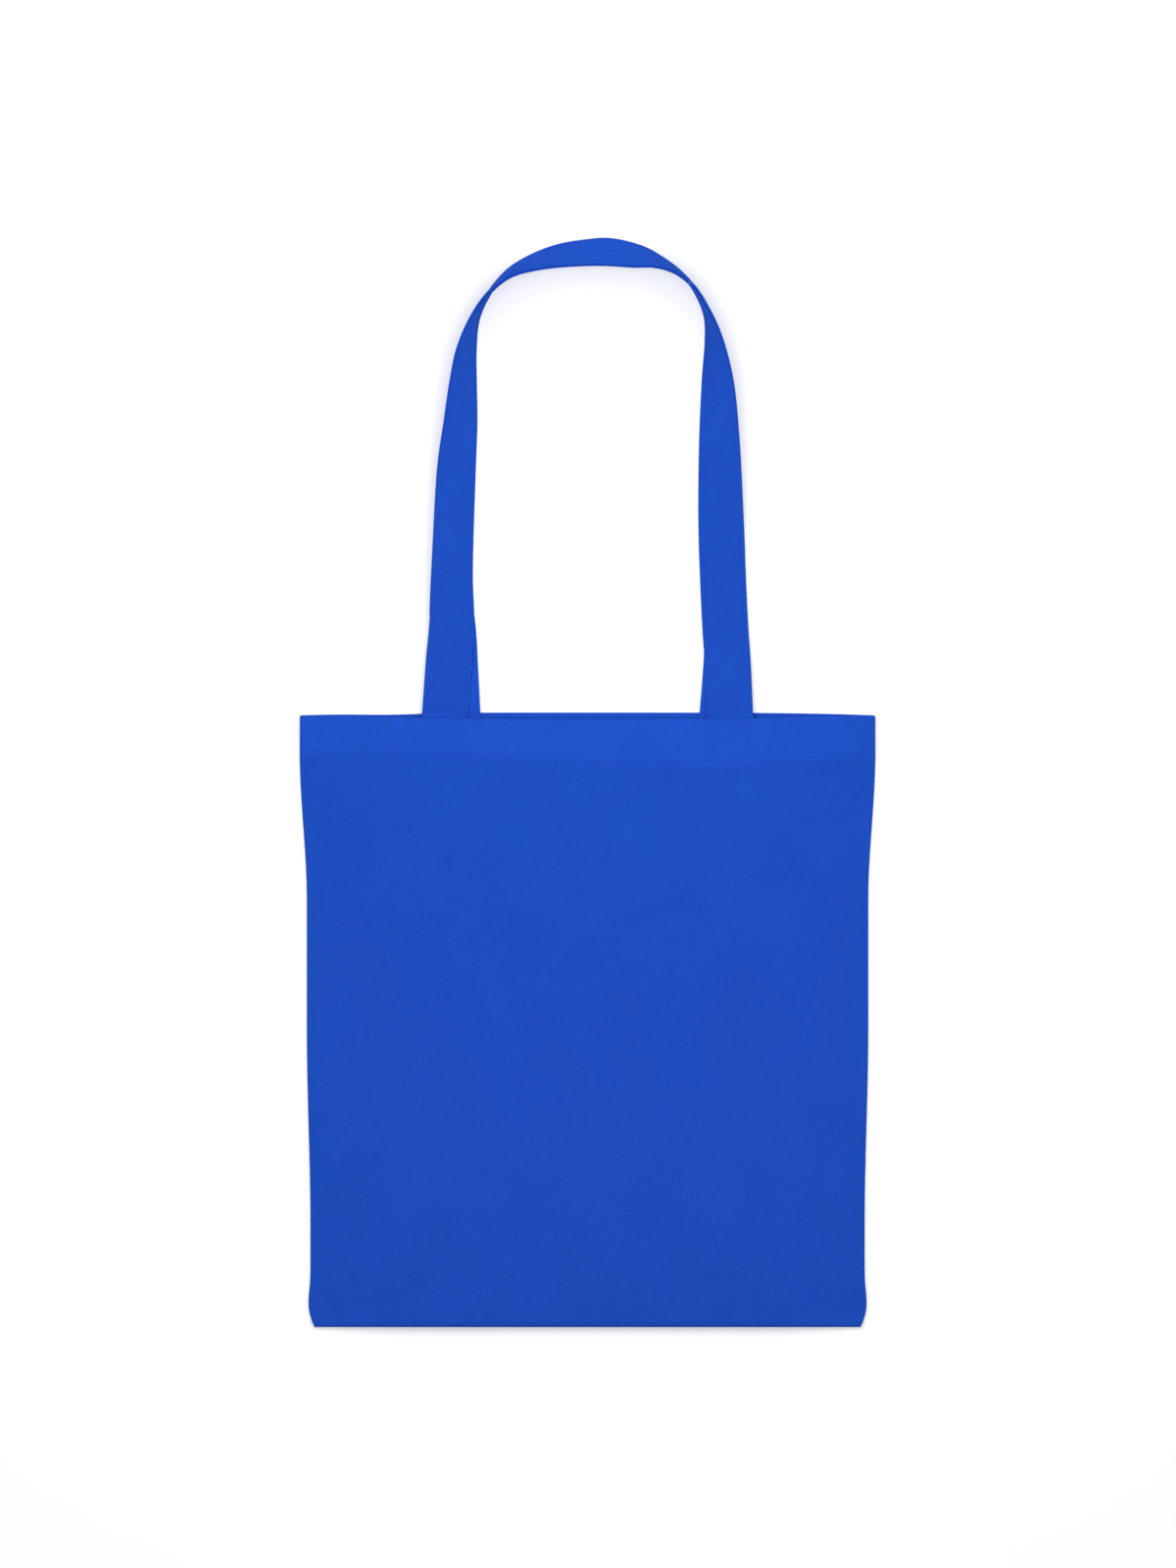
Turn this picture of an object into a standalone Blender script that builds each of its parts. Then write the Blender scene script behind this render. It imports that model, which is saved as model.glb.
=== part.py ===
"""A cotton tote bag that lies flat on its back panel, with its two long handles laid out above the mouth.

Metres. +X runs across the bag, +Y from the bottom fold to the mouth and the handles, +Z up from the surface.
The bag is one strip of cloth, folded across its bottom, seamed up both sides and hemmed round the mouth.
Each handle is a folded strip whose two ends are sewn inside the hem of its own panel.
"""

import math

import bmesh
import bpy
from mathutils import Vector

# Cloth
CLOTH = 0.0005
HEM_LAYERS = 3
SEAM_ALLOWANCE = 0.009
SEAM_LAYERS = 2

# Body, across and along
MOUTH_WIDTH = 0.3875
MIDDLE_WIDTH = 0.3780
BOTTOM_WIDTH = 0.3732
BODY_HEIGHT = 0.4120
HEM_DEPTH = 0.0260
FLARE_LENGTH = 0.0980
LOWER_TAPER_START = 0.0700
LOWER_TAPER_LENGTH = 0.1300
CORNER_NIP = 0.0018
CORNER_LENGTH = 0.0120
CORNER_BULGE = 0.0013
CORNER_BULGE_UP = 0.0170
CORNER_BULGE_REACH = 0.0110
CORNER_ROUND = 0.0012
MOUTH_SAG = 0.0030
HEM_LINE_SAG = 0.0050
SAG_REACH = 0.0900

# Body, through its thickness
MIDDLE_LOFT = 0.0140
MOUTH_LOFT = 0.0105
FOLD_THICKNESS = 0.0090
CORNER_THICKNESS = 0.0042
FOLD_ROUND = 0.0035
HEM_RIDGE = 0.0005
SEAM_THICKNESS = 0.0028
HEM_SEAM_THICKNESS = 0.0048
SEAM_BULGE = 0.0004
SEAM_LIFT = 0.0003
SEAM_LIFT_REACH = 0.0300
SIDE_SLOPE = 0.0760
FOLD_SLOPE = 0.0950
MOUTH_SLOPE = 0.0700
WAVE_HEIGHT = 0.0005
WAVE_LENGTH = 0.1350
WAVE_SLANT = 0.6

# Handles
STRAP_WIDTH = 0.0310
STRAP_THICKNESS = 0.0013
STRAP_TUCK = 0.0250
HANDLE_SPACING = 0.1920
HANDLE_RISE = 0.3227
SETTLE_FRONT = 0.0850
SETTLE_BACK = 0.0300
BACK_INSET_LEFT = 0.0085
BACK_INSET_RIGHT = 0.0052
INSET_RUN_LEFT = 0.0700
INSET_RUN_RIGHT = 0.0420

# Clearances
SEWN_GAP = 0.0003
HANDLE_GAP = 0.0007
FLOOR_GAP = 0.0002

# Look
ROYAL_BLUE = (0.016, 0.085, 0.558)
BODY_ROUGHNESS = 0.85
STRAP_ROUGHNESS = 0.8
SHEEN = 0.3

# Fineness
COLUMNS = 14
ROWS = 20
CROWDING = 1.5
ROW_CROWDING = 1.7
HEM_STEP = 0.0010
FOLD_STEPS = 6
ROUTE_STEPS = 3
PROFILE_STEPS = 3
FLAT_STEPS = 3

HEM = CLOTH * HEM_LAYERS
BELOW_HEM = BODY_HEIGHT - HEM_DEPTH

# The front handle's centreline from its left end to its right end. The first number is the place across,
# as a share of half the spacing. The second is the height above the mouth, as a share of the rise.
# The third is the lean in degrees: 0 lies flat, 90 stands on one edge, and past 90 the top falls inwards.
HANDLE_ROUTE = (
    (-1.000, 0.000, 0),
    (-0.975, 0.105, 0),
    (-0.954, 0.190, 12),
    (-0.950, 0.300, 29),
    (-0.922, 0.500, 36),
    (-0.891, 0.610, 47),
    (-0.874, 0.688, 57),
    (-0.850, 0.760, 68),
    (-0.793, 0.825, 82),
    (-0.694, 0.878, 90),
    (-0.560, 0.918, 98),
    (-0.400, 0.941, 108),
    (-0.200, 0.957, 118),
    (0.000, 0.964, 123),
    (0.160, 0.965, 125),
    (0.350, 0.956, 118),
    (0.500, 0.944, 104),
    (0.630, 0.924, 95),
    (0.745, 0.891, 90),
    (0.842, 0.836, 84),
    (0.890, 0.775, 69),
    (0.914, 0.690, 49),
    (0.924, 0.580, 33),
    (0.935, 0.420, 14),
    (0.948, 0.300, 0),
    (0.965, 0.190, 0),
    (0.985, 0.100, 0),
    (1.000, 0.000, 0),
)


def ease(share):
    """0 before the start, 1 past the end, and smooth between."""
    share = min(max(share, 0.0), 1.0)
    return share * share * (3 - 2 * share)


def arch(share):
    """A quarter wave: leaves 0 at a slope and arrives level at 1."""
    return math.sin(math.pi / 2 * min(max(share, 0.0), 1.0))


def half_width(up):
    """Half the width of the bag at a distance up from its bottom fold."""
    taper = ease((up - LOWER_TAPER_START) / LOWER_TAPER_LENGTH)
    flare = ease((up - BELOW_HEM + FLARE_LENGTH) / FLARE_LENGTH)
    width = BOTTOM_WIDTH + (MIDDLE_WIDTH - BOTTOM_WIDTH) * taper + (MOUTH_WIDTH - MIDDLE_WIDTH) * flare
    bulge = CORNER_BULGE * math.exp(-(((up - CORNER_BULGE_UP) / CORNER_BULGE_REACH) ** 2))
    return width / 2 + bulge - CORNER_NIP * (1 - ease(up / CORNER_LENGTH))


def hemmed(up):
    """0 on the panels and 1 on the hem."""
    return ease((up - BELOW_HEM + HEM_STEP) / HEM_STEP)


def seam_thickness(up):
    """How thick the bag's side edge is: thicker at the fold's corners and at the hem."""
    folded = 1 - ease(up / CORNER_LENGTH)
    body = SEAM_THICKNESS + (CORNER_THICKNESS - SEAM_THICKNESS) * folded
    return body + (HEM_SEAM_THICKNESS - body) * hemmed(up)


def back_height(up, inward):
    """The underside, level where it lies and lifted a little towards the side seams."""
    return SEAM_LIFT * (1 - arch(inward / SEAM_LIFT_REACH)) * ease(up / CORNER_LENGTH)


def front_height(up, across):
    """The top of the front panel, which crowns between the seams and settles towards the mouth."""
    inward = half_width(up) - abs(across)
    edge = back_height(up, 0) + seam_thickness(up)
    rise = FOLD_THICKNESS + (MIDDLE_LOFT - FOLD_THICKNESS) * arch(up / FOLD_SLOPE)
    settle = ease((up - BELOW_HEM + MOUTH_SLOPE) / MOUTH_SLOPE)
    crown = rise + (MOUTH_LOFT - HEM_RIDGE - MIDDLE_LOFT) * settle + HEM_RIDGE * hemmed(up)
    wave = math.sin(math.tau * (across + WAVE_SLANT * up) / WAVE_LENGTH)
    calm = ease(inward / SIDE_SLOPE) * max(math.sin(math.pi * up / BELOW_HEM), 0)
    return edge + (crown - edge) * arch(inward / SIDE_SLOPE) + WAVE_HEIGHT * wave * calm


def front_sag(up, share):
    """How far the front panel's middle hangs back from the mouth, most at the hem's stitching."""
    reached = ease((up - BELOW_HEM + SAG_REACH) / SAG_REACH)
    past_line = max(up - BELOW_HEM, 0) / HEM_DEPTH
    depth = HEM_LINE_SAG + (MOUTH_SAG - HEM_LINE_SAG) * past_line
    return depth * reached * (1 - share * share)


def shares_across():
    """Places across the bag from -1 to 1, closer together near the seams."""
    half = [1 - (k / COLUMNS) ** CROWDING for k in range(COLUMNS)]
    return [-share for share in half] + [0.0] + half[::-1]


def distances_up():
    """Distances up the bag, closer together near the fold and at the hem's lower edge."""
    top = BELOW_HEM - HEM_STEP
    plain = [FOLD_ROUND + (top - FOLD_ROUND) * (k / ROWS) ** ROW_CROWDING for k in range(ROWS + 1)]
    return plain + [BELOW_HEM, BELOW_HEM + HEM_DEPTH / 2, BODY_HEIGHT]


def section(up):
    """The bag's outline at one distance up: front panel, right seam, back panel and left seam."""
    half = half_width(up)
    edge = half - SEAM_BULGE
    middle = back_height(up, 0) + seam_thickness(up) / 2
    shares = shares_across()
    front = [Vector((s * edge, up - front_sag(up, s), front_height(up, s * half))) for s in shares]
    back = [Vector((s * edge, up, back_height(up, half * (1 - abs(s))))) for s in reversed(shares)]
    return front + [Vector((half, up, middle))] + back + [Vector((-half, up, middle))]


def fold_lines():
    """Lines across the round of the bottom fold, full in the middle and pinched at the two seams."""
    half = half_width(FOLD_ROUND)
    lines = []
    for step in range(1, FOLD_STEPS):
        angle = math.pi * (0.5 - step / FOLD_STEPS)
        edge = half - SEAM_BULGE - CORNER_ROUND * math.cos(angle)
        up = FOLD_ROUND * (1 - math.cos(angle))
        raised = (1 + math.sin(angle)) / 2
        line = [(s * edge, up, raised * front_height(FOLD_ROUND, s * half)) for s in shares_across()]
        lines.append([Vector(point) for point in line])
    return lines


def new_object(name, data, collection):
    made = bpy.data.objects.new(name, data)
    collection.objects.link(made)
    return made


def cotton(name, roughness):
    """Dyed cotton with a soft sheen."""
    material = bpy.data.materials.new(name)
    material.use_nodes = True
    shader = material.node_tree.nodes["Principled BSDF"]
    shader.inputs["Base Color"].default_value = (*ROYAL_BLUE, 1)
    shader.inputs["Roughness"].default_value = roughness
    shader.inputs["Metallic"].default_value = 0
    shader.inputs["Sheen Weight"].default_value = SHEEN
    return material


def loft_skin():
    """The bag's outer skin as a mesh: sections joined from the bottom fold to the open mouth."""
    mesh = bmesh.new()
    rings = [[mesh.verts.new(point) for point in section(up)] for up in distances_up()]
    for lower, upper in zip(rings, rings[1:]):
        for k in range(len(lower)):
            after = (k + 1) % len(lower)
            mesh.faces.new((lower[k], lower[after], upper[after], upper[k]))
    count = len(shares_across())
    front, back = rings[0][:count], rings[0][count + 1 : -1][::-1]
    right, left = rings[0][count], rings[0][-1]
    folds = [front] + [[mesh.verts.new(point) for point in line] for line in fold_lines()] + [back]
    for upper, lower in zip(folds, folds[1:]):
        for k in range(count - 1):
            mesh.faces.new((lower[k], lower[k + 1], upper[k + 1], upper[k]))
        mesh.faces.new((lower[-1], right, upper[-1]))
        mesh.faces.new((lower[0], upper[0], left))
    data = bpy.data.meshes.new("bag_body")
    mesh.to_mesh(data)
    mesh.free()
    return data


def seam_allowance(side, helpers):
    """The two raw edges of cloth that turn inwards along one side seam."""
    mesh = bmesh.new()
    rows = []
    for up in distances_up()[1 : ROWS + 1]:
        wall = half_width(up) - CLOTH / 2
        middle = back_height(up, 0) + seam_thickness(up) / 2
        inner = wall - SEAM_ALLOWANCE
        rows.append([mesh.verts.new((side * x, up, middle)) for x in (wall, (wall + inner) / 2, inner)])
    for lower, upper in zip(rows, rows[1:]):
        for k in range(2):
            mesh.faces.new((lower[k], lower[k + 1], upper[k + 1], upper[k]))
    data = bpy.data.meshes.new("seam_allowance")
    mesh.to_mesh(data)
    mesh.free()
    strip = new_object("seam_allowance", data, helpers)
    layers = strip.modifiers.new("layers", "SOLIDIFY")
    layers.thickness = CLOTH * SEAM_LAYERS
    layers.offset = 0
    strip.hide_render = True
    strip.display_type = "WIRE"
    return strip


def bag_body(parts, helpers, place):
    """The folded, seamed and hemmed cloth, as one piece."""
    body = new_object("bag_body", loft_skin(), parts)
    hem = body.vertex_groups.new(name="hem")
    count = len(section(0))
    rows_of_hem = [k for k, up in enumerate(distances_up()) if up >= BELOW_HEM]
    hem.add(range(rows_of_hem[0] * count, (rows_of_hem[-1] + 1) * count), 1.0, "REPLACE")
    cloth = body.modifiers.new("cloth", "SOLIDIFY")
    cloth.thickness = HEM
    cloth.offset = -1
    cloth.use_even_offset = True
    cloth.use_quality_normals = True
    cloth.vertex_group = hem.name
    cloth.thickness_vertex_group = CLOTH / HEM
    for side in (-1, 1):
        strip = seam_allowance(side, helpers)
        strip.location.y = place
        sewn = body.modifiers.new("seam", "BOOLEAN")
        sewn.operation = "UNION"
        sewn.object = strip
    body.location.y = place
    body.data.shade_smooth()
    return body


def smooth_route():
    """Points along the handle on one smooth curve through the route, each (across, along, lean)."""
    stations = [Vector(station) for station in HANDLE_ROUTE]
    half, rise = HANDLE_SPACING / 2, HANDLE_RISE
    stations = [Vector((s.x * half, s.y * rise, math.radians(s.z))) for s in stations]
    ends = [2 * stations[0] - stations[1]], [2 * stations[-1] - stations[-2]]
    guide = ends[0] + stations + ends[1]
    points = []
    for a, b, c, d in zip(guide, guide[1:], guide[2:], guide[3:]):
        for step in range(ROUTE_STEPS):
            t = step / ROUTE_STEPS
            bend = (2 * a - 5 * b + 4 * c - d) * t**2 + (3 * b - 3 * c + d - a) * t**3
            points.append((2 * b + (c - a) * t + bend) / 2)
    points.append(stations[-1])
    tucked = [Vector((side * half, -STRAP_TUCK, 0)) for side in (-1, 1)]
    return [tucked[0]] + points + [tucked[1]]


def outward_at(points, k):
    """The level direction away from the loop, square to the handle's run."""
    run = points[min(k + 1, len(points) - 1)] - points[max(k - 1, 0)]
    return Vector((-run.y, run.x, 0)).normalized()


def handle_points(sewn_height, settle, nested):
    """(place, lean) along a handle. The nested one is under the other at the legs and over it at the top."""
    route = smooth_route()
    pitch = STRAP_THICKNESS + HANDLE_GAP
    found = []
    for k, point in enumerate(route):
        lean = max(point.z, 0.0)
        outward = outward_at(route, k)
        height = FLOOR_GAP + STRAP_THICKNESS / 2 + (STRAP_WIDTH - STRAP_THICKNESS) / 2 * math.sin(lean)
        place = Vector((point.x, point.y, height))
        if nested:
            on_left = point.x < 0
            inset = BACK_INSET_LEFT if on_left else BACK_INSET_RIGHT
            run = INSET_RUN_LEFT if on_left else INSET_RUN_RIGHT
            place += outward * pitch / 2 * math.sin(lean)
            place.z += pitch * max(-math.cos(lean), 0)
            place -= outward * inset * (1 - ease(point.y / run))
        else:
            place -= outward * pitch / 2 * math.sin(lean)
            place.z += pitch * max(math.cos(lean), 0)
        settled = ease(point.y / settle)
        place.z = sewn_height + (place.z - sewn_height) * settled
        found.append((place, lean))
    return found


def handle_reach(points):
    """How far above the mouth the handle's farther edge reaches."""
    return max(place.y + STRAP_WIDTH / 2 * abs(math.cos(lean)) for place, lean in points)


def strap_profile(helpers):
    """The strap's section: a flat folded strip with round edges."""
    half_flat = (STRAP_WIDTH - STRAP_THICKNESS) / 2
    outline = []
    for side in (-1, 1):
        for step in range(PROFILE_STEPS + 1):
            angle = math.pi * (0.5 - step / PROFILE_STEPS)
            x = half_flat + STRAP_THICKNESS / 2 * math.cos(angle)
            outline.append((-side * x, -side * STRAP_THICKNESS / 2 * math.sin(angle)))
        for step in range(1, FLAT_STEPS):
            outline.append((-side * half_flat * (1 - 2 * step / FLAT_STEPS), side * STRAP_THICKNESS / 2))
    curve = bpy.data.curves.new("strap_profile", "CURVE")
    curve.dimensions = "2D"
    spline = curve.splines.new("POLY")
    spline.points.add(len(outline) - 1)
    for point, (x, y) in zip(spline.points, outline):
        point.co = (x, y, 0, 1)
    spline.use_cyclic_u = True
    made = new_object("strap_profile", curve, helpers)
    made.hide_render = True
    return made


def handle(name, points, profile, parts, place):
    """A strap swept along its route: flat at the mouth, on edge at the shoulders and past that at the top."""
    curve = bpy.data.curves.new(name, "CURVE")
    curve.dimensions = "3D"
    curve.twist_mode = "Z_UP"
    curve.bevel_mode = "OBJECT"
    curve.bevel_object = profile
    curve.use_fill_caps = True
    spline = curve.splines.new("POLY")
    spline.points.add(len(points) - 1)
    for point, (at, lean) in zip(spline.points, points):
        point.co = (*at, 1)
        point.tilt = lean
    spline.use_smooth = True
    made = new_object(name, curve, parts)
    made.location.y = place
    return made


def build():
    for old in list(bpy.data.objects):
        bpy.data.objects.remove(old)
    parts = bpy.data.collections.new("cotton_tote_bag")
    helpers = bpy.data.collections.new("helpers")
    for collection in (parts, helpers):
        bpy.context.scene.collection.children.link(collection)

    front_sewn = MOUTH_LOFT - HEM - SEWN_GAP - STRAP_THICKNESS / 2
    back_sewn = HEM + SEWN_GAP + STRAP_THICKNESS / 2
    front = handle_points(front_sewn, SETTLE_FRONT, nested=False)
    back = handle_points(back_sewn, SETTLE_BACK, nested=True)
    reach = max(handle_reach(front), handle_reach(back))
    fold = -(BODY_HEIGHT + reach) / 2
    mouth = fold + BODY_HEIGHT

    body = bag_body(parts, helpers, fold)
    profile = strap_profile(helpers)
    front_handle = handle("front_handle", front, profile, parts, mouth)
    back_handle = handle("back_handle", back, profile, parts, mouth)

    body.data.materials.append(cotton("body_cotton", BODY_ROUGHNESS))
    front_handle.data.materials.append(cotton("front_handle_cotton", STRAP_ROUGHNESS))
    back_handle.data.materials.append(cotton("back_handle_cotton", STRAP_ROUGHNESS))


build()
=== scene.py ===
"""The looks of the cotton tote bag: cloth, handles and sewing threads, with the floor, light and camera.

Metres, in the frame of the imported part: +X across the bag, +Y from the bottom fold to the handles, +Z up.
The sizes down to the handles' route are the part's own. The rest is finer than the part's solids.
"""

import math

import bpy
import numpy as np
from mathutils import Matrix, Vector


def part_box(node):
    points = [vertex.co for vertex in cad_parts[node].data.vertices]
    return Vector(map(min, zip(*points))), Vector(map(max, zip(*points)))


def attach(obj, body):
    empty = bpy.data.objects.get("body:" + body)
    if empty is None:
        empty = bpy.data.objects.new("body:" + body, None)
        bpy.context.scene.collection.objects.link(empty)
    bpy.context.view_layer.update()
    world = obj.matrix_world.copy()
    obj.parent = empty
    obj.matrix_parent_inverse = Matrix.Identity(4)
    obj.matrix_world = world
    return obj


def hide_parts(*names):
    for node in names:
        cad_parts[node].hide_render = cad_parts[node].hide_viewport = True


# Cloth
CLOTH = 0.0005
HEM = 0.0015
SEAM_ALLOWANCE = 0.009

# Body, across and along
MOUTH_WIDTH = 0.3875
MIDDLE_WIDTH = 0.3780
BOTTOM_WIDTH = 0.3732
BODY_HEIGHT = 0.4120
HEM_DEPTH = 0.0260
FLARE_LENGTH = 0.0980
LOWER_TAPER_START = 0.0700
LOWER_TAPER_LENGTH = 0.1300
CORNER_NIP = 0.0018
CORNER_LENGTH = 0.0120
CORNER_BULGE = 0.0013
CORNER_BULGE_UP = 0.0170
CORNER_BULGE_REACH = 0.0110
CORNER_ROUND = 0.0012
MOUTH_SAG = 0.0030
HEM_LINE_SAG = 0.0050
SAG_REACH = 0.0900
BELOW_HEM = BODY_HEIGHT - HEM_DEPTH

# Body, through its thickness
MIDDLE_LOFT = 0.0140
MOUTH_LOFT = 0.0105
FOLD_THICKNESS = 0.0090
CORNER_THICKNESS = 0.0042
FOLD_ROUND = 0.0035
HEM_RIDGE = 0.0005
SEAM_THICKNESS = 0.0028
HEM_SEAM_THICKNESS = 0.0048
SEAM_BULGE = 0.0004
SEAM_LIFT = 0.0003
SEAM_LIFT_REACH = 0.0300
SIDE_SLOPE = 0.0760
FOLD_SLOPE = 0.0950
MOUTH_SLOPE = 0.0700
WAVE_HEIGHT = 0.0005
WAVE_LENGTH = 0.1350
WAVE_SLANT = 0.6

# Handles
STRAP_WIDTH = 0.0310
STRAP_THICKNESS = 0.0013
STRAP_TUCK = 0.0250
HANDLE_SPACING = 0.1920
HANDLE_RISE = 0.3227
SETTLE_FRONT = 0.0850
SETTLE_BACK = 0.0300
BACK_INSET_LEFT = 0.0085
BACK_INSET_RIGHT = 0.0052
INSET_RUN_LEFT = 0.0700
INSET_RUN_RIGHT = 0.0420
SEWN_GAP = 0.0003
FLOOR_GAP = 0.0002

# The front handle's centreline: across as a share of half the spacing, along as a share of the rise, and
# lean in degrees. At 90 it stands on one edge, and past 90 its top falls inwards.
HANDLE_ROUTE = (
    (-1.000, 0.000, 0),
    (-0.975, 0.105, 0),
    (-0.954, 0.190, 12),
    (-0.950, 0.300, 29),
    (-0.922, 0.500, 36),
    (-0.891, 0.610, 47),
    (-0.874, 0.688, 57),
    (-0.850, 0.760, 68),
    (-0.793, 0.825, 82),
    (-0.694, 0.878, 90),
    (-0.560, 0.918, 98),
    (-0.400, 0.941, 108),
    (-0.200, 0.957, 118),
    (0.000, 0.964, 123),
    (0.160, 0.965, 125),
    (0.350, 0.956, 118),
    (0.500, 0.944, 104),
    (0.630, 0.924, 95),
    (0.745, 0.891, 90),
    (0.842, 0.836, 84),
    (0.890, 0.775, 69),
    (0.914, 0.690, 49),
    (0.924, 0.580, 33),
    (0.935, 0.420, 14),
    (0.948, 0.300, 0),
    (0.965, 0.190, 0),
    (0.985, 0.100, 0),
    (1.000, 0.000, 0),
)

# Fine shape of the hem and the mouth
HEM_STEP = 0.0020
HEM_LINE_SKEW = 0.0033
SEAM_STEP = 0.0100
MOUTH_BOW = 0.0018
MOUTH_DIP = 0.0010
MOUTH_DIP_ACROSS = -0.1350
MOUTH_DIP_WIDTH = 0.0300
MOUTH_ROUND = 0.0010
INNER_STEP = 0.0012
INNER_STEP_DROP = 0.0009
STITCH_UP = BELOW_HEM + 0.0020
STITCH_SINK = 0.00010
STITCH_SINK_WIDTH = 0.0013
STITCH_SINK_EDGE = 0.0040

# Gathers. A drift is (amount, waves), in radians and radians a metre, and keeps a row of gathers uneven.
HEM_PUCKER = 0.00012
HEM_PUCKER_LENGTH = 0.0094
HEM_PUCKER_REACH = 0.0070
HEM_PUCKER_DRIFTS = ((1.7, 71), (1.1, 173))
HEM_PUCKER_WEAKEST = 0.2
HEM_PUCKER_CHANGE = 43
SEAM_PUCKER = 0.00022
SEAM_PUCKER_LENGTH = 0.0125
SEAM_PUCKER_REACH = 0.0120
SEAM_PUCKER_DRIFT = (1.9, 57)
FOLD_PUCKER = 0.00010
FOLD_PUCKER_LENGTH = 0.0170
FOLD_PUCKER_REACH = 0.0110
FOLD_PUCKER_DRIFTS = ((2.1, 39),)
CORNER_PUCKER = 0.0006
CORNER_PUCKER_UP = 0.0154
CORNER_PUCKER_TALL = 0.0110
CORNER_PUCKER_INWARD = 0.0240
CORNER_PUCKER_WIDE = 0.0180
GATHER_EDGE = 0.0030

# Ripples: pairs of crossed waves, each (across, up, phase) in radians a metre and radians
RIPPLE = 0.00022
COARSE_WAVES = ((61, 23, 0.7), (-13, 47, 1.9))
FINE_WAVES = ((131, -37, 2.3), (29, 89, 0.4))
FINE_SHARE = 0.45
RIPPLE_LOST_AT_HEM = 0.7

# The faint pressed line
CREASE_ACROSS = -0.1396
CREASE_DEPTH = 0.00035
CREASE_WIDTH = 0.0032
CREASE_START = 0.3560
CREASE_FADE_IN = 0.0200
CREASE_END = 0.4080
CREASE_FADE_OUT = 0.0040
CREASE_WANDER = 0.0025
CREASE_WANDER_WAVES = 90

# The raw edges inside the side seams
RAW_START = 0.0120
RAW_STOP = 0.0020
RAW_GAP = 0.0006
RAW_WAVE = 0.06
RAW_WAVES_UP = 210
RAW_WAVES_ACROSS = 5
RAW_LAYERS_APART = 1.2
RAW_LIGHTER = 0.3

# Fine shape of the handles
HANDLE_GAP = 0.0004
NEST_LIFT = 0.0035
NEST_LIFT_AT = 0.0170
NEST_LIFT_REACH = 0.0150
STRAP_CREASE = 0.0018
STRAP_CREASE_RISE = 0.0050
STRAP_CREASE_BEFORE = 0.0028
STRAP_CREASE_SHARP = 0.0025
STRAP_CREASE_SOFT = 0.0120
STRAP_CREASE_SHARPNESS = 0.6
STRAP_STITCH_INSET = 0.0028
STRAP_STITCH_SINK = 0.00014
STRAP_STITCH_SINK_WIDTH = 0.0008

# Sewing threads. A stitch has rings at shares of its length, each with its share of the full thickness.
STITCH_LENGTH = 0.0022
STITCH_PITCH = 0.0029
STITCH_STOPS = np.array([-0.5, -0.3, 0.0, 0.3, 0.5])
STITCH_SIZES = np.array([0.25, 0.85, 1.0, 0.85, 0.25])
STITCH_ARCH = 0.9
STITCH_SUNK = 0.35
THREAD_RADIUS = 0.00021
THREAD_PRESSED = 0.00030
HEM_STITCH_INSET = 0.0030
BOX_HEIGHT = 0.0200
BOX_INSET = 0.0030

# Fineness
COLUMNS = 230
CROWDING = 1.35
ROW_CROWDING = 1.35
BODY_ROWS = 96
INNER_ROWS = 34
INNER_HEM_ROWS = 9
HEM_ROWS = 12
EDGE_STEPS = 8
MOUTH_STEPS = 6
RAW_ROWS = 110
RAW_COLUMNS = 6
ROUTE_STEPS = 11
TUCK_STEPS = 9
STRAP_COLUMNS = 26
STRAP_CROWDING = 1.35
STRAP_EDGE_STEPS = 4
THREAD_SIDES = 5

# Rows of points near the hem's lower edge, in millimetres up from it
STEP_ROWS = (-12, -9, -6.5, -4.5, -3, -2, -1.4, -1, -0.75, -0.5, -0.25, 0)
SEWN_ROWS = (0.3, 0.7, 1.1, 1.5, 2, 2.5, 2.9, 3.4, 4, 5)
FIRST_HEM_ROW = 6.5
INNER_STEP_ROWS = (1.2, 0.3, -0.1, -0.5, -0.9)
FIRST_INNER_ROW = -4

# Look. Slubs, specks and patches are noise, with so many waves a metre across and along the cloth.
ROYAL_BLUE = (0.0150, 0.0885, 0.5680)
# The back handle's colour is made lighter as painted light, against the shade that the front handle casts
# on it.
BACK_STRAP_PAINTED_LIGHT = 1.14
# The hem is coloured lighter by this share: painted light on the folded band, and against the shade inside
# the mouth.
HEM_PAINTED_LIGHT = 0.25
DARKEST = 0.86
LIGHTEST = 1.14
CONTRAST = 2.2
WARP_SLUBS = (1500, 75, 1)
WEFT_SLUBS = (90, 1300, 1)
SLUB_DETAIL = 3.0
WARP_SHARE = 0.55
SPECKS = (700, 700, 1)
SPECK_SHARE = 0.3
PATCHES = (24, 17, 1)
PATCH_SHARE = 0.2
BODY_ROUGHNESS = 0.88
STRAP_ROUGHNESS = 0.84
CLOTH_SCATTER = 0.65
CLOTH_GLOSS = 0.02
NAP = 0.02
NAP_ROUGHNESS = 0.5
NAP_TINT = (0.20, 0.40, 1.0, 1)
# Painted light and shade along the thread's twist: darkest in its grooves, lightest on its ridges.
THREAD_PAINTED_SHADE = 0.92
THREAD_PAINTED_LIGHT = 1.10
THREAD_ROUGHNESS = 0.80
THREAD_GLOSS = 0.03
TWIST_AROUND = 5000
TWIST_ALONG = 9000
TWIST_RADIUS = 0.0002
STITCH_TO_STITCH = 0.01

# The weave's threads, how much the upper one stands out at a crossing, and how flat a crossing is
THREAD_PITCH = 0.00046
WEAVE_OVER = 0.35
WEAVE_FLATNESS = 0.6

# Bumps: (depth in metres, strength)
WEAVE_BUMP = (0.00010, 0.55)
SLUB_BUMP = (0.00022, 0.55)
PATCH_BUMP = (0.0012, 0.35)
TWIST_BUMP = (0.00006, 0.6)

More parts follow.
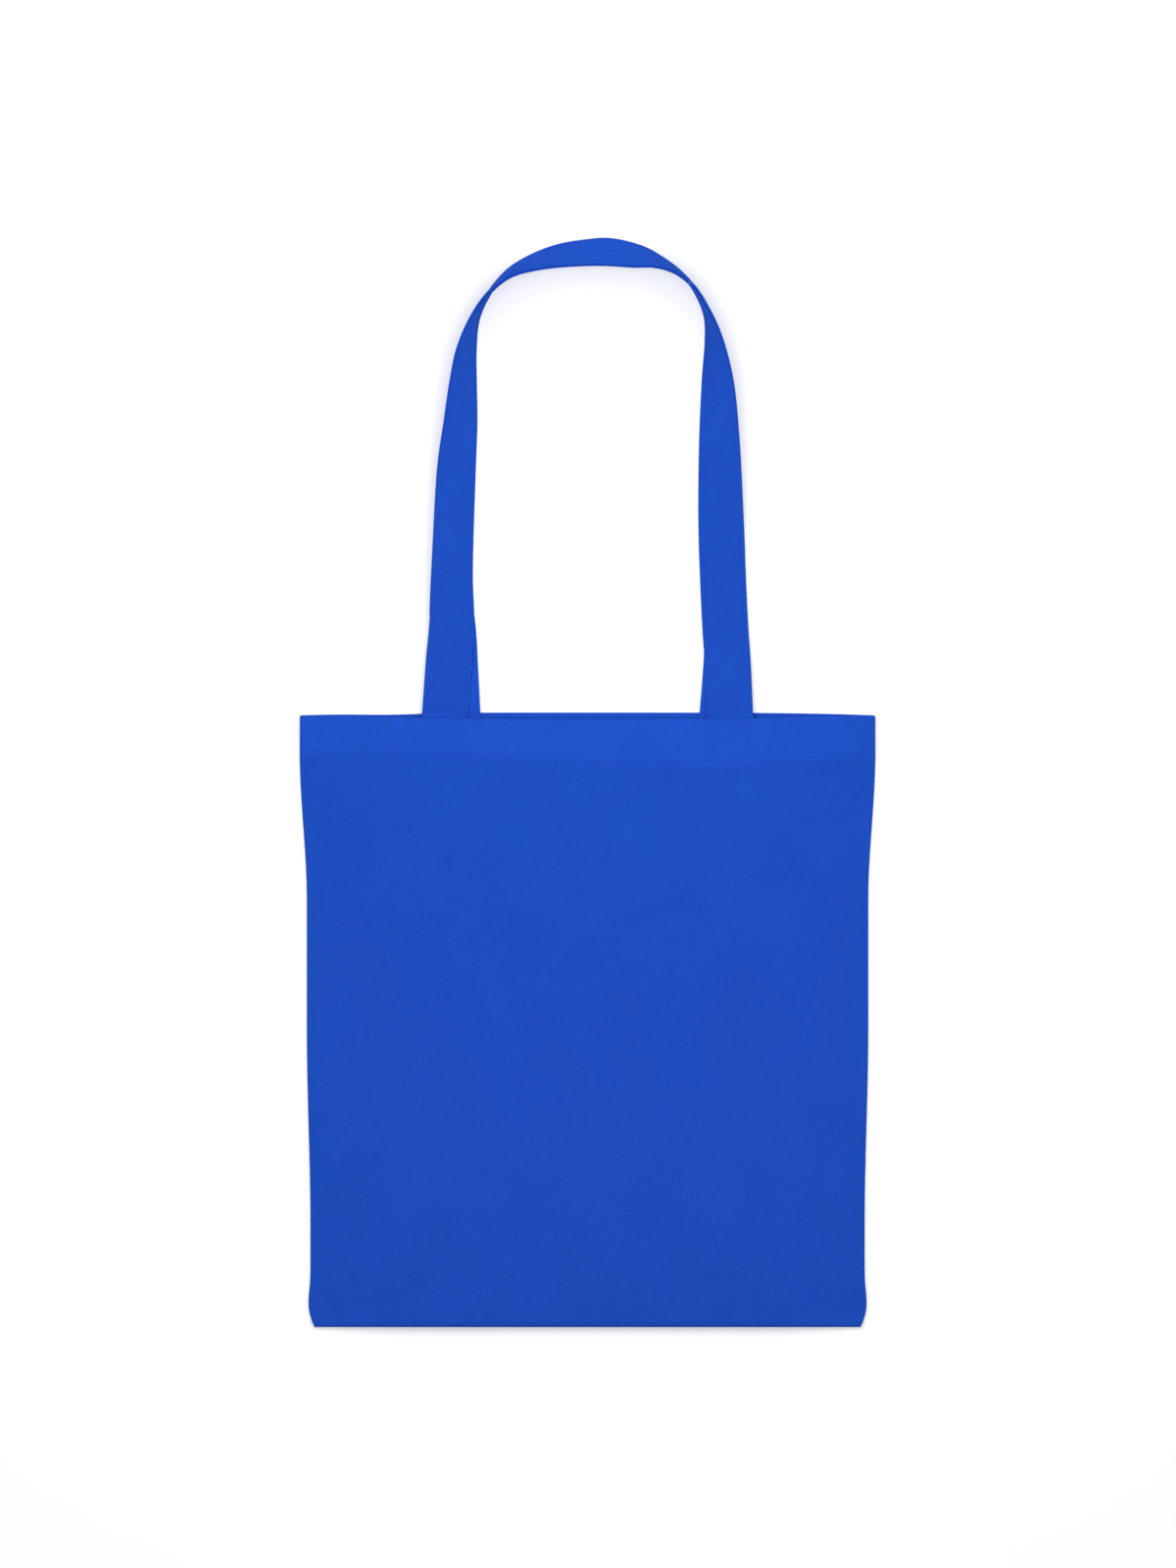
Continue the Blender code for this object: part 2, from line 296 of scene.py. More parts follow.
# Stage
LENS = 450.0
SENSOR = 36.0
FRAME_HEIGHT = 1.0560
CAMERA_ACROSS = 0.0003
CAMERA_ALONG = -0.0010
FLOOR_SIZE = 30.0
FLOOR_DROP = 0.0001
FLOOR_WHITE = 0.70
FLOOR_SEEN = 0.74
FLOOR_GLOW = 0.375
FILL = 0.44
FAR_LIGHT_STRENGTH = 0.80
FAR_LIGHT_FROM = (-0.02, 0.42, 0.88)
FAR_LIGHT_ANGLE = math.radians(75)
NEAR_LAMP_AT = (0.0, 0.16, 0.85)
NEAR_LAMP_SIZE = 0.50
NEAR_LAMP_ENERGY = 3.3


def ease(share):
    """0 before the start, 1 past the end, and smooth between."""
    share = np.clip(share, 0.0, 1.0)
    return share * share * (3 - 2 * share)


def arch(share):
    """A quarter wave: leaves 0 at a slope and arrives level at 1."""
    return np.sin(math.pi / 2 * np.clip(share, 0.0, 1.0))


def bell(distance, width):
    return np.exp(-((distance / width) ** 2))


# Form of the two panels


def half_width(up):
    taper = ease((up - LOWER_TAPER_START) / LOWER_TAPER_LENGTH)
    flare = ease((up - BELOW_HEM + FLARE_LENGTH) / FLARE_LENGTH)
    width = BOTTOM_WIDTH + (MIDDLE_WIDTH - BOTTOM_WIDTH) * taper + (MOUTH_WIDTH - MIDDLE_WIDTH) * flare
    bulge = CORNER_BULGE * bell(up - CORNER_BULGE_UP, CORNER_BULGE_REACH)
    return width / 2 + bulge - CORNER_NIP * (1 - ease(up / CORNER_LENGTH))


def hemmed(up):
    return ease((up - BELOW_HEM + HEM_STEP) / HEM_STEP)


def seam_thickness(up):
    folded = 1 - ease(up / CORNER_LENGTH)
    body = SEAM_THICKNESS + (CORNER_THICKNESS - SEAM_THICKNESS) * folded
    return body + (HEM_SEAM_THICKNESS - body) * ease((up - BELOW_HEM + SEAM_STEP) / SEAM_STEP)


def back_height(up, inward):
    return SEAM_LIFT * (1 - arch(inward / SEAM_LIFT_REACH)) * ease(up / CORNER_LENGTH)


def front_height(up, across):
    inward = half_width(up) - np.abs(across)
    edge = back_height(up, 0) + seam_thickness(up)
    rise = FOLD_THICKNESS + (MIDDLE_LOFT - FOLD_THICKNESS) * arch(up / FOLD_SLOPE)
    settle = ease((up - BELOW_HEM + MOUTH_SLOPE) / MOUTH_SLOPE)
    crown = rise + (MOUTH_LOFT - HEM_RIDGE - MIDDLE_LOFT) * settle + HEM_RIDGE * hemmed(up)
    wave = np.sin(math.tau * (across + WAVE_SLANT * up) / WAVE_LENGTH)
    calm = ease(inward / SIDE_SLOPE) * np.maximum(np.sin(math.pi * up / BELOW_HEM), 0)
    return edge + (crown - edge) * arch(inward / SIDE_SLOPE) + WAVE_HEIGHT * wave * calm


def front_sag(up, share):
    reached = ease((up - BELOW_HEM + SAG_REACH) / SAG_REACH)
    past_line = np.maximum(up - BELOW_HEM, 0) / HEM_DEPTH
    depth = HEM_LINE_SAG + (MOUTH_SAG - HEM_LINE_SAG) * past_line
    skew = HEM_LINE_SKEW * np.sin(math.pi * share) * (1 - past_line)
    return (depth * (1 - share * share) + skew) * reached


# Fine shape


def crossed(up, across, waves):
    """Two slanting waves multiplied together."""
    one, other = [np.sin(across * sideways + up * upwards + phase) for sideways, upwards, phase in waves]
    return one * other


def ripples(up, across):
    """Soft unevenness of cloth that has been folded and laid out."""
    inward = half_width(up) - np.abs(across)
    calm = ease(inward / (SIDE_SLOPE / 2)) * ease(up / FOLD_SLOPE) * (1 - RIPPLE_LOST_AT_HEM * hemmed(up))
    waves = crossed(up, across, COARSE_WAVES) + FINE_SHARE * crossed(up, across, FINE_WAVES)
    return RIPPLE * waves * calm


def gathers(distance, length, drifts):
    """A row of gathers of about one length."""
    drift = sum(amount * np.sin(distance * waves) for amount, waves in drifts)
    return np.sin(distance * math.tau / length + drift)


def hem_puckers(up, across):
    """Small gathers that the stitching draws up along the hem's lower edge."""
    middle = (1 + HEM_PUCKER_WEAKEST) / 2
    strength = middle + (1 - middle) * np.sin(across * HEM_PUCKER_CHANGE + 1.0)
    row = gathers(across, HEM_PUCKER_LENGTH, HEM_PUCKER_DRIFTS)
    return HEM_PUCKER * row * strength * bell(up - STITCH_UP, HEM_PUCKER_REACH)


def seam_puckers(up, across):
    """Small gathers along both side seams, not the same on the left as on the right."""
    inward = half_width(up) - np.abs(across)
    side = np.sign(across)
    amount, waves = SEAM_PUCKER_DRIFT
    row = np.sin(up * math.tau / SEAM_PUCKER_LENGTH + amount * np.sin(up * waves + side) + side)
    near = np.exp(-inward / SEAM_PUCKER_REACH) * ease(inward / (SEAM_PUCKER_REACH / 3))
    return SEAM_PUCKER * row * near * ease(up / CORNER_LENGTH) * (1 - hemmed(up))


def fold_puckers(up, across):
    """Slight dents along the bottom fold, deepest at its two corners."""
    inward = half_width(up) - np.abs(across)
    row = gathers(across, FOLD_PUCKER_LENGTH, FOLD_PUCKER_DRIFTS)
    along = FOLD_PUCKER * row * bell(up - FOLD_PUCKER_REACH, FOLD_PUCKER_REACH)
    corner = bell(up - CORNER_PUCKER_UP, CORNER_PUCKER_TALL)
    corner = corner * bell(inward - CORNER_PUCKER_INWARD, CORNER_PUCKER_WIDE)
    return (along - CORNER_PUCKER * corner) * ease(up / FOLD_PUCKER_REACH)


def crease(up, across):
    """One faint pressed line down from the mouth, left of the left handle."""
    place = CREASE_ACROSS + CREASE_WANDER * np.sin(up * CREASE_WANDER_WAVES)
    length = ease((up - CREASE_START) / CREASE_FADE_IN) * (1 - ease((up - CREASE_END) / CREASE_FADE_OUT))
    return -CREASE_DEPTH * bell(across - place, CREASE_WIDTH) * length


def stitch_groove(up, across):
    """How deep the hem's stitching is drawn into the cloth."""
    inward = half_width(up) - np.abs(across)
    return STITCH_SINK * bell(up - STITCH_UP, STITCH_SINK_WIDTH) * ease(inward / STITCH_SINK_EDGE)


def front_detail(up, across):
    """All that is finer than the solids on the front panel."""
    inward = half_width(up) - np.abs(across)
    gathered = hem_puckers(up, across) + seam_puckers(up, across) + fold_puckers(up, across)
    raised = ripples(up, across) + gathered * ease(inward / GATHER_EDGE) + crease(up, across)
    return raised - stitch_groove(up, across)


def front_points(share, up):
    """Points on the front panel's outer face."""
    half = half_width(up)
    x = share * (half - SEAM_BULGE)
    y = FOLD_Y + up - front_sag(up, share)
    z = front_height(up, share * half) + front_detail(up, share * half)
    return np.stack(np.broadcast_arrays(x, y, z), -1)


def back_bow(up, share):
    """How far the back panel's mouth edge stands up past a straight line, with a slight dip on the left."""
    reached = ease((up - BELOW_HEM + SAG_REACH) / SAG_REACH)
    dip = MOUTH_DIP * bell(share * MOUTH_WIDTH / 2 - MOUTH_DIP_ACROSS, MOUTH_DIP_WIDTH)
    return (MOUTH_BOW * (1 - share**4) - dip) * reached


def back_points(share, up):
    """Points on the back panel's outer face."""
    half = half_width(up)
    x = share * (half - SEAM_BULGE)
    y = FOLD_Y + up + back_bow(up, share)
    z = back_height(up, half * (1 - np.abs(share))) + stitch_groove(up, share * half)
    return np.stack(np.broadcast_arrays(x, y, z), -1)


# Mesh helpers


def shares_across():
    """Places across the bag from -1 to 1, closer together near the seams."""
    even = np.linspace(-1, 1, COLUMNS + 1)
    return np.sign(even) * (1 - (1 - np.abs(even)) ** CROWDING)


def grid_faces(rows, columns):
    """Quads between rows of points, with the last column joined to the first."""
    across = np.arange(columns)
    after = (across + 1) % columns
    starts = np.arange(rows - 1)[:, None] * columns
    quads = (starts + across, starts + after, starts + columns + after, starts + columns + across)
    return np.stack(quads, -1).reshape(-1, 4)


def tube_faces(rows, columns):
    """A closed grid of quads with a face over each end."""
    first = list(range(columns))[::-1]
    last = list(range((rows - 1) * columns, rows * columns))
    return [*grid_faces(rows, columns).tolist(), first, last]


def new_piece(name, points, faces, cloth, material):
    """A smooth mesh object that carries its place in the flat cloth, in metres, for the weave."""
    data = bpy.data.meshes.new(name)
    data.from_pydata(points.reshape(-1, 3).tolist(), [], [list(face) for face in faces])
    woven = data.attributes.new("cloth", "FLOAT_VECTOR", "POINT")
    woven.data.foreach_set("vector", cloth.astype(np.float32).ravel())
    data.materials.append(material)
    data.shade_smooth()
    data.update()
    made = bpy.data.objects.new(name, data)
    bpy.context.scene.collection.objects.link(made)
    return made


# Body


def side_points(front, back, half, inset):
    """Points down a side edge: a lip of the front panel, the seam's groove and a lip of the back panel."""
    places = np.arange(1, EDGE_STEPS) / EDGE_STEPS
    groove = 0.5 + 0.5 * np.cos(2 * math.tau * places)
    down = places[None, :]
    z = front[:, None, 2] * (1 - down) + back[:, None, 2] * down
    y = front[:, None, 1] * (1 - down) + back[:, None, 1] * down
    side = np.sign(front[:, None, 0])
    x = side * (half[:, None] - inset[:, None] - SEAM_BULGE * groove[None, :])
    return np.stack(np.broadcast_arrays(x, y, z), -1)


def rings(ups, thickness):
    """Closed outlines of the bag at each distance up, set in by a thickness of cloth."""
    share = shares_across()[None, :]
    up = ups[:, None]
    inset = np.broadcast_to(thickness, ups.shape)
    front = front_points(share, up)
    back = back_points(share, up)
    front[..., 2] -= inset[:, None]
    back[..., 2] += inset[:, None]
    half = half_width(ups)
    narrower = 1 - inset / (half - SEAM_BULGE)
    front[..., 0] *= narrower[:, None]
    back[..., 0] *= narrower[:, None]
    right = side_points(front[:, -1], back[:, -1], half, inset)
    left = side_points(front[:, 0], back[:, 0], half, inset)
    return np.concatenate([front, right, back[:, ::-1], left[:, ::-1]], axis=1)


def ring_cloth(ups):
    """Each ring point's place in the flat cloth, up in front and down behind, and the hem's share there,
    which the cloth's colour turns into painted light on the hem.
    """
    share = shares_across()
    across = share * MOUTH_WIDTH / 2
    edge = np.full(EDGE_STEPS - 1, MOUTH_WIDTH / 2)
    x = np.concatenate([across, edge, across[::-1], -edge])
    count = len(share)
    sign = np.concatenate([np.ones(count + EDGE_STEPS // 2), -np.ones(len(x) - count - EDGE_STEPS // 2)])
    sign[-(EDGE_STEPS // 2) :] = 1
    made = np.zeros((len(ups), len(x), 3))
    made[..., 0] = x[None, :]
    made[..., 1] = ups[:, None] * sign[None, :]
    made[..., 2] = hemmed(ups)[:, None]
    return made


def fold_patch(first_ring):
    """Lines of points that close a ring across the bottom fold."""
    count = COLUMNS + 1
    side = EDGE_STEPS - 1
    front = first_ring[:count]
    back = first_ring[count + side : count + side + count][::-1]
    points = []
    for step in range(1, EDGE_STEPS):
        angle = math.pi * (0.5 - step / EDGE_STEPS)
        line = (front + back) / 2 + (front - back) / 2 * math.sin(angle)
        line[:, 0] *= 1 - CORNER_ROUND * math.cos(angle) / line[:, 0].max()
        line[:, 1] -= FOLD_ROUND * math.cos(angle)
        points.append(line)
    return np.array(points)


def fold_faces(ring_start, fold_start, flip):
    """Faces across a fold patch, with the two small ones beside it that meet the side edges."""
    count = COLUMNS + 1
    side = EDGE_STEPS - 1
    front = ring_start + np.arange(count)
    back = (ring_start + count + side + np.arange(count))[::-1]
    lines = [front]
    lines += [fold_start + k * count + np.arange(count) for k in range(side)]
    lines += [back]
    right = [front[-1], *(ring_start + count + np.arange(side)), back[-1]]
    left = [front[0], *(ring_start + 2 * count + side + np.arange(side))[::-1], back[0]]
    faces = []
    for k in range(EDGE_STEPS):
        upper, lower = lines[k], lines[k + 1]
        for c in range(count - 1):
            faces.append([lower[c], lower[c + 1], upper[c + 1], upper[c]])
        faces.append([lower[-1], right[k + 1], right[k], upper[-1]])
        faces.append([left[k + 1], lower[0], upper[0], left[k]])
    tidy = [list(dict.fromkeys(int(v) for v in face)) for face in faces]
    return [face[::-1] if flip else face for face in tidy if len(face) > 2]


def outer_rows():
    """Distances up the outside, fine along the fold, at the hem's lower edge and at its stitching."""
    near = BELOW_HEM + np.array(STEP_ROWS + SEWN_ROWS) / 1000
    crowded = (np.arange(BODY_ROWS) / BODY_ROWS) ** ROW_CROWDING
    plain = FOLD_ROUND + (near[0] - FOLD_ROUND) * crowded
    hem = np.linspace(BELOW_HEM + FIRST_HEM_ROW / 1000, BODY_HEIGHT - HEM / 2, HEM_ROWS)
    return np.concatenate([plain, near, hem])


def inner_rows():
    """Distances down the inside, from the mouth to the bottom fold."""
    step = BELOW_HEM + np.array(INNER_STEP_ROWS) / 1000
    hem = np.linspace(BODY_HEIGHT - HEM / 2, step[0], INNER_HEM_ROWS)
    plain = np.linspace(BELOW_HEM + FIRST_INNER_ROW / 1000, FOLD_ROUND, INNER_ROWS)
    return np.concatenate([hem, step[1:], plain])


def mouth_lines(outer, inner):
    """Lines of points round the mouth's edge, from the last outer ring to the first inner one."""
    lines = []
    for step in range(1, MOUTH_STEPS):
        angle = math.pi * step / MOUTH_STEPS
        line = (outer + inner) / 2 + (outer - inner) / 2 * math.cos(angle)
        line[:, 0] *= 1 - MOUTH_ROUND * math.sin(angle) / line[:, 0].max()
        line[:, 1] += HEM / 2 * math.sin(angle)
        lines.append(line)
    return np.array(lines)


def body_cloth(material):
    """The bag: one closed mesh with the cloth's thickness, open at the mouth, with a turned hem."""
    outer_up = outer_rows()
    inner_up = inner_rows()
    thickness = CLOTH + (HEM - CLOTH) * ease((inner_up - BELOW_HEM + INNER_STEP_DROP) / INNER_STEP)
    outer = rings(outer_up, 0.0)
    inner = rings(inner_up, thickness)
    mouth = mouth_lines(outer[-1], inner[0])
    skin = np.concatenate([outer, mouth, inner])
    ups = np.concatenate([outer_up, np.full(len(mouth), BODY_HEIGHT), inner_up])
    cloth = ring_cloth(ups)
    rows, columns = skin.shape[:2]
    faces = grid_faces(rows, columns).tolist()
    outer_fold = fold_patch(skin[0])
    inner_fold = fold_patch(skin[-1])
    inner_fold[..., 1] = np.maximum(inner_fold[..., 1], FOLD_Y + CLOTH)
    fold_start = rows * columns
    faces += fold_faces(0, fold_start, flip=False)
    faces += fold_faces((rows - 1) * columns, fold_start + outer_fold[..., 0].size, flip=True)
    across = np.broadcast_to(shares_across() * MOUTH_WIDTH / 2, outer_fold.shape[:2])
    round_up = np.linspace(FOLD_ROUND, -FOLD_ROUND, EDGE_STEPS + 1)[1:-1]
    fold_cloth = np.stack(np.broadcast_arrays(across, round_up[:, None], 0.0), -1)
    points = np.concatenate([part.reshape(-1, 3) for part in (skin, outer_fold, inner_fold)])
    woven = np.concatenate([part.reshape(-1, 3) for part in (cloth, fold_cloth, fold_cloth)])
    return new_piece("bag_cloth", points, faces, woven, material)


def seam_allowance(name, side, material):
    """The raw edges that turn inwards along one side seam: two layers, a little uneven."""
    ups = np.linspace(RAW_START, BELOW_HEM - RAW_STOP, RAW_ROWS)
    half = half_width(ups) - CLOTH - RAW_GAP
    middle = back_height(ups, 0) + seam_thickness(ups) / 2
    places = np.linspace(0, 1, RAW_COLUMNS)
    wave = RAW_WAVE * np.sin(ups[:, None] * RAW_WAVES_UP + places[None, :] * RAW_WAVES_ACROSS)
    across = half[:, None] - SEAM_ALLOWANCE * places[None, :]
    along = FOLD_Y + ups[:, None]
    rows = []
    for layer in (-1, 1):
        z = middle[:, None] + layer * CLOTH * (0.5 + wave)
        rows.append(np.stack(np.broadcast_arrays(side * across, along, z), -1))
    loop = np.concatenate([rows[0], rows[1][:, ::-1]], axis=1)
    faces = tube_faces(*loop.shape[:2])
    if side < 0:
        faces = [face[::-1] for face in faces]
    in_cloth = np.concatenate([places, places[::-1] + RAW_LAYERS_APART]) * SEAM_ALLOWANCE
    woven = np.stack(np.broadcast_arrays(in_cloth[None, :], ups[:, None], RAW_LIGHTER), -1)
    return new_piece(name, loop, faces, woven, material)


# Handles


def smooth_route():
    """Points along a handle on one smooth curve through the route, each (across, along, lean)."""
    scale = np.array([HANDLE_SPACING / 2, HANDLE_RISE, math.pi / 180])
    stations = np.array(HANDLE_ROUTE, float) * scale
    guide = np.vstack([2 * stations[0] - stations[1], stations, 2 * stations[-1] - stations[-2]])
    points = []
    for a, b, c, d in zip(guide, guide[1:], guide[2:], guide[3:]):
        for t in np.arange(ROUTE_STEPS) / ROUTE_STEPS:
            bend = (2 * a - 5 * b + 4 * c - d) * t**2 + (3 * b - 3 * c + d - a) * t**3
            points.append((2 * b + (c - a) * t + bend) / 2)
    points.append(stations[-1])
    tucks = []
    for side in (-1, 1):
        down = np.linspace(-STRAP_TUCK, 0, TUCK_STEPS, endpoint=False)
        tucks.append(np.stack(np.broadcast_arrays(side * scale[0], down, 0.0), -1))
    return np.vstack([tucks[0], points, tucks[1][::-1]])


def directions(points):
    """Unit directions along a line of points."""
    run = np.gradient(points, axis=0)
    return run / np.linalg.norm(run, axis=1)[:, None]


def outwards(points):
    """Level unit directions out of the handle's loop, square to a line of points."""
    level = directions(np.column_stack([points[:, :2], np.zeros(len(points))]))
    return np.column_stack([-level[:, 1], level[:, 0], np.zeros(len(points))])


def distances(points):
    """Distance from the start to each point of a line."""
    steps = np.linalg.norm(np.diff(points, axis=0), axis=1)
    return np.concatenate([[0.0], np.cumsum(steps)])


def handle_line(sewn_height, settle, nested):
    """Centre points and leans along a handle.

    The nested handle is under the other one at the legs and over it at the top.
    """
    route = smooth_route()
    pitch = STRAP_THICKNESS + HANDLE_GAP
    lean = np.maximum(route[:, 2], 0.0)
    outward = outwards(route)
    height = FLOOR_GAP + STRAP_THICKNESS / 2 + (STRAP_WIDTH - STRAP_THICKNESS) / 2 * np.sin(lean)
    place = np.column_stack([route[:, :2], height])
    apart = (pitch / 2 * np.sin(lean))[:, None]
    if nested:
        on_left = route[:, 0] < 0
        inset = np.where(on_left, BACK_INSET_LEFT, BACK_INSET_RIGHT)
        run = np.where(on_left, INSET_RUN_LEFT, INSET_RUN_RIGHT)
        place += outward * apart
        place[:, 2] += pitch * np.maximum(-np.cos(lean), 0)
        place -= outward * (inset * np.clip(1 - route[:, 1] / run, 0, 1))[:, None]
    else:
        place -= outward * apart
        place[:, 2] += pitch * np.maximum(np.cos(lean), 0)
    settled = ease(route[:, 1] / settle)
    place[:, 2] = sewn_height + (place[:, 2] - sewn_height) * settled
    if nested:
        place[:, 2] += NEST_LIFT * bell(route[:, 1] - NEST_LIFT_AT, NEST_LIFT_REACH)
    place[:, 1] += MOUTH_Y
    return place, lean


def strap_section():
    """The strap's outline, (across, through), with a stitched groove along each edge on both faces."""
    half = (STRAP_WIDTH - STRAP_THICKNESS) / 2
    round_edge = STRAP_THICKNESS / 2
    even = np.linspace(-1, 1, STRAP_COLUMNS)
    across = np.sign(even) * (1 - (1 - np.abs(even)) ** STRAP_CROWDING) * half
    from_groove = STRAP_WIDTH / 2 - np.abs(across) - STRAP_STITCH_INSET
    face = round_edge - STRAP_STITCH_SINK * bell(from_groove, STRAP_STITCH_SINK_WIDTH)
    outline = [(x, h) for x, h in zip(across, face)]
    for step in range(1, STRAP_EDGE_STEPS):
        angle = math.pi * (0.5 - step / STRAP_EDGE_STEPS)
        outline.append((half + round_edge * math.cos(angle), round_edge * math.sin(angle)))
    outline += [(x, -h) for x, h in zip(across[::-1], face[::-1])]
    for step in range(1, STRAP_EDGE_STEPS):
        angle = math.pi * (-0.5 - step / STRAP_EDGE_STEPS)
        outline.append((-half + round_edge * math.cos(angle), round_edge * math.sin(angle)))
    return np.array(outline)


def strap_frame(place, lean):
    """Directions across the strap and out of its face at each point along it."""
    along = directions(place)
    outward = outwards(place)
    upward = np.cross(along, outward)
    upward *= np.sign(upward[:, 2])[:, None]
    cos = np.cos(lean)[:, None]
    sin = np.sin(lean)[:, None]
    return outward * cos + upward * sin, upward * cos - outward * sin


def strap_crease(points, across):
    """The slanting crease where the front handle bends down off the hem."""
    rise = STRAP_CREASE_RISE * (across / STRAP_WIDTH + 0.5)
    past = points[..., 1] - MOUTH_Y - rise
    before = bell(np.minimum(past, 0), STRAP_CREASE_BEFORE)
    sharp = np.exp(-np.maximum(past, 0) / STRAP_CREASE_SHARP)
    soft = np.exp(-np.maximum(past, 0) / STRAP_CREASE_SOFT)
    after = STRAP_CREASE_SHARPNESS * sharp + (1 - STRAP_CREASE_SHARPNESS) * soft
    return -STRAP_CREASE * before * after


def handle_cloth(name, place, lean, material, creased):
    """A folded and edge-stitched strap along its line, and its length."""
    outline = strap_section()
    sideways = outline[None, :, :1]
    through = outline[None, :, 1:]
    across, face = strap_frame(place, lean)
    points = place[:, None, :] + sideways * across[:, None, :] + through * face[:, None, :]
    if creased:
        points[..., 2] += strap_crease(points, sideways[..., 0])
    run = distances(place)
    woven = np.zeros(points.shape)
    woven[..., 0] = sideways[..., 0] + np.where(through[..., 0] < 0, STRAP_WIDTH, 0.0)
    woven[..., 1] = run[:, None]
    faces = [corners[::-1] for corners in tube_faces(*points.shape[:2])]
    return new_piece(name, points, faces, woven, material), float(run[-1])


# Sewing threads


def stitches(name, middles, alongs, outs, material):
    """Short raised stitches, one at each middle point."""
    sides = np.cross(alongs, outs)
    angles = np.arange(THREAD_SIDES) * math.tau / THREAD_SIDES
    rim = np.cos(angles)[:, None, None] * sides[None] + np.sin(angles)[:, None, None] * outs[None]
    rows = []
    for stop, size in zip(STITCH_STOPS, STITCH_SIZES):
        raised = THREAD_RADIUS * (size * STITCH_ARCH - STITCH_SUNK)
        centre = middles + alongs * stop * STITCH_LENGTH + outs * raised
        rows.append(centre[None] + rim * THREAD_RADIUS * size)
    points = np.array(rows).transpose(2, 0, 1, 3)
    each = tube_faces(len(STITCH_STOPS), THREAD_SIDES)
    step = len(STITCH_STOPS) * THREAD_SIDES
    starts = range(0, len(middles) * step, step)
    faces = [[start + corner for corner in face] for start in starts for face in each]
    woven = np.zeros(points.shape)
    woven[..., 0] = angles[None, None, :] * TWIST_RADIUS
    apart = np.arange(len(middles)) * STITCH_TO_STITCH
    woven[..., 1] = (STITCH_STOPS * STITCH_LENGTH)[None, :, None] + apart[:, None, None]
    return new_piece(name, points, faces, woven, material)


def on_panel(panel, across, ups, flip):
    """Points on a panel and the unit directions right, up and out of it, pressed in on the underside."""
    share = across / (half_width(ups) - SEAM_BULGE)
    small = 0.0002
    middles = panel(share, ups)
    right = panel(share + small, ups) - panel(share - small, ups)
    upward = panel(share, ups + small) - panel(share, ups - small)
    out = np.cross(right, upward)
    right, upward, out = [way / np.linalg.norm(way, axis=1)[:, None] for way in (right, upward, out)]
    if flip:
        out = -out
        middles = middles - out * THREAD_PRESSED
    return middles, right, upward, out


def hem_stitches(name, panel, flip, material):
    """The line of stitching round the mouth, on one panel."""
    half = MOUTH_WIDTH / 2 - HEM_STITCH_INSET
    across = np.arange(-half, half, STITCH_PITCH)
    ups = np.full(len(across), STITCH_UP)
    middles, right, _, out = on_panel(panel, across, ups, flip)
    return stitches(name, middles, right, out, material)


def box_stitches(name, panel, centre, flip, material):
    """The stitched box that holds one end of a handle: its sides and top, above the hem's own line."""
    half = STRAP_WIDTH / 2 - BOX_INSET
    level = np.arange(-half, half + STITCH_PITCH / 2, STITCH_PITCH)
    rise = np.arange(STITCH_PITCH / 2, BOX_HEIGHT, STITCH_PITCH)
    top = (centre + level, np.full(len(level), STITCH_UP + BOX_HEIGHT), True)
    left = (np.full(len(rise), centre - half), STITCH_UP + rise, False)
    right = (np.full(len(rise), centre + half), STITCH_UP + rise, False)
    runs = []
    for across, ups, is_level in (top, left, right):
        middles, rightward, upward, out = on_panel(panel, across, ups, flip)
        runs.append((middles, rightward if is_level else upward, out))
    joined = [np.concatenate(parts) for parts in zip(*runs)]
    return stitches(name, *joined, material)


def strap_stitches(name, place, lean, material, creased):
    """Stitching along both edges of a handle, on both faces."""
    run = distances(place)
    stops = np.arange(STITCH_PITCH, run[-1] - STITCH_PITCH, STITCH_PITCH)
    middle = np.column_stack([np.interp(stops, run, place[:, k]) for k in range(3)])
    tilt = np.interp(stops, run, lean)
    across, face = strap_frame(middle, tilt)
    along = directions(middle)
    inset = STRAP_WIDTH / 2 - STRAP_STITCH_INSET
    through = STRAP_THICKNESS / 2 - STRAP_STITCH_SINK
    middles, outs = [], []
    for side in (-1, 1):
        for up in (-1, 1):
            points = middle + across * inset * side + face * through * up
            if creased:
                points[:, 2] += strap_crease(points, np.full(len(points), inset * side))
            middles.append(points)
            outs.append(face * up)
    alongs = np.concatenate([along] * len(middles))
    return stitches(name, np.concatenate(middles), alongs, np.concatenate(outs), material)


# Materials


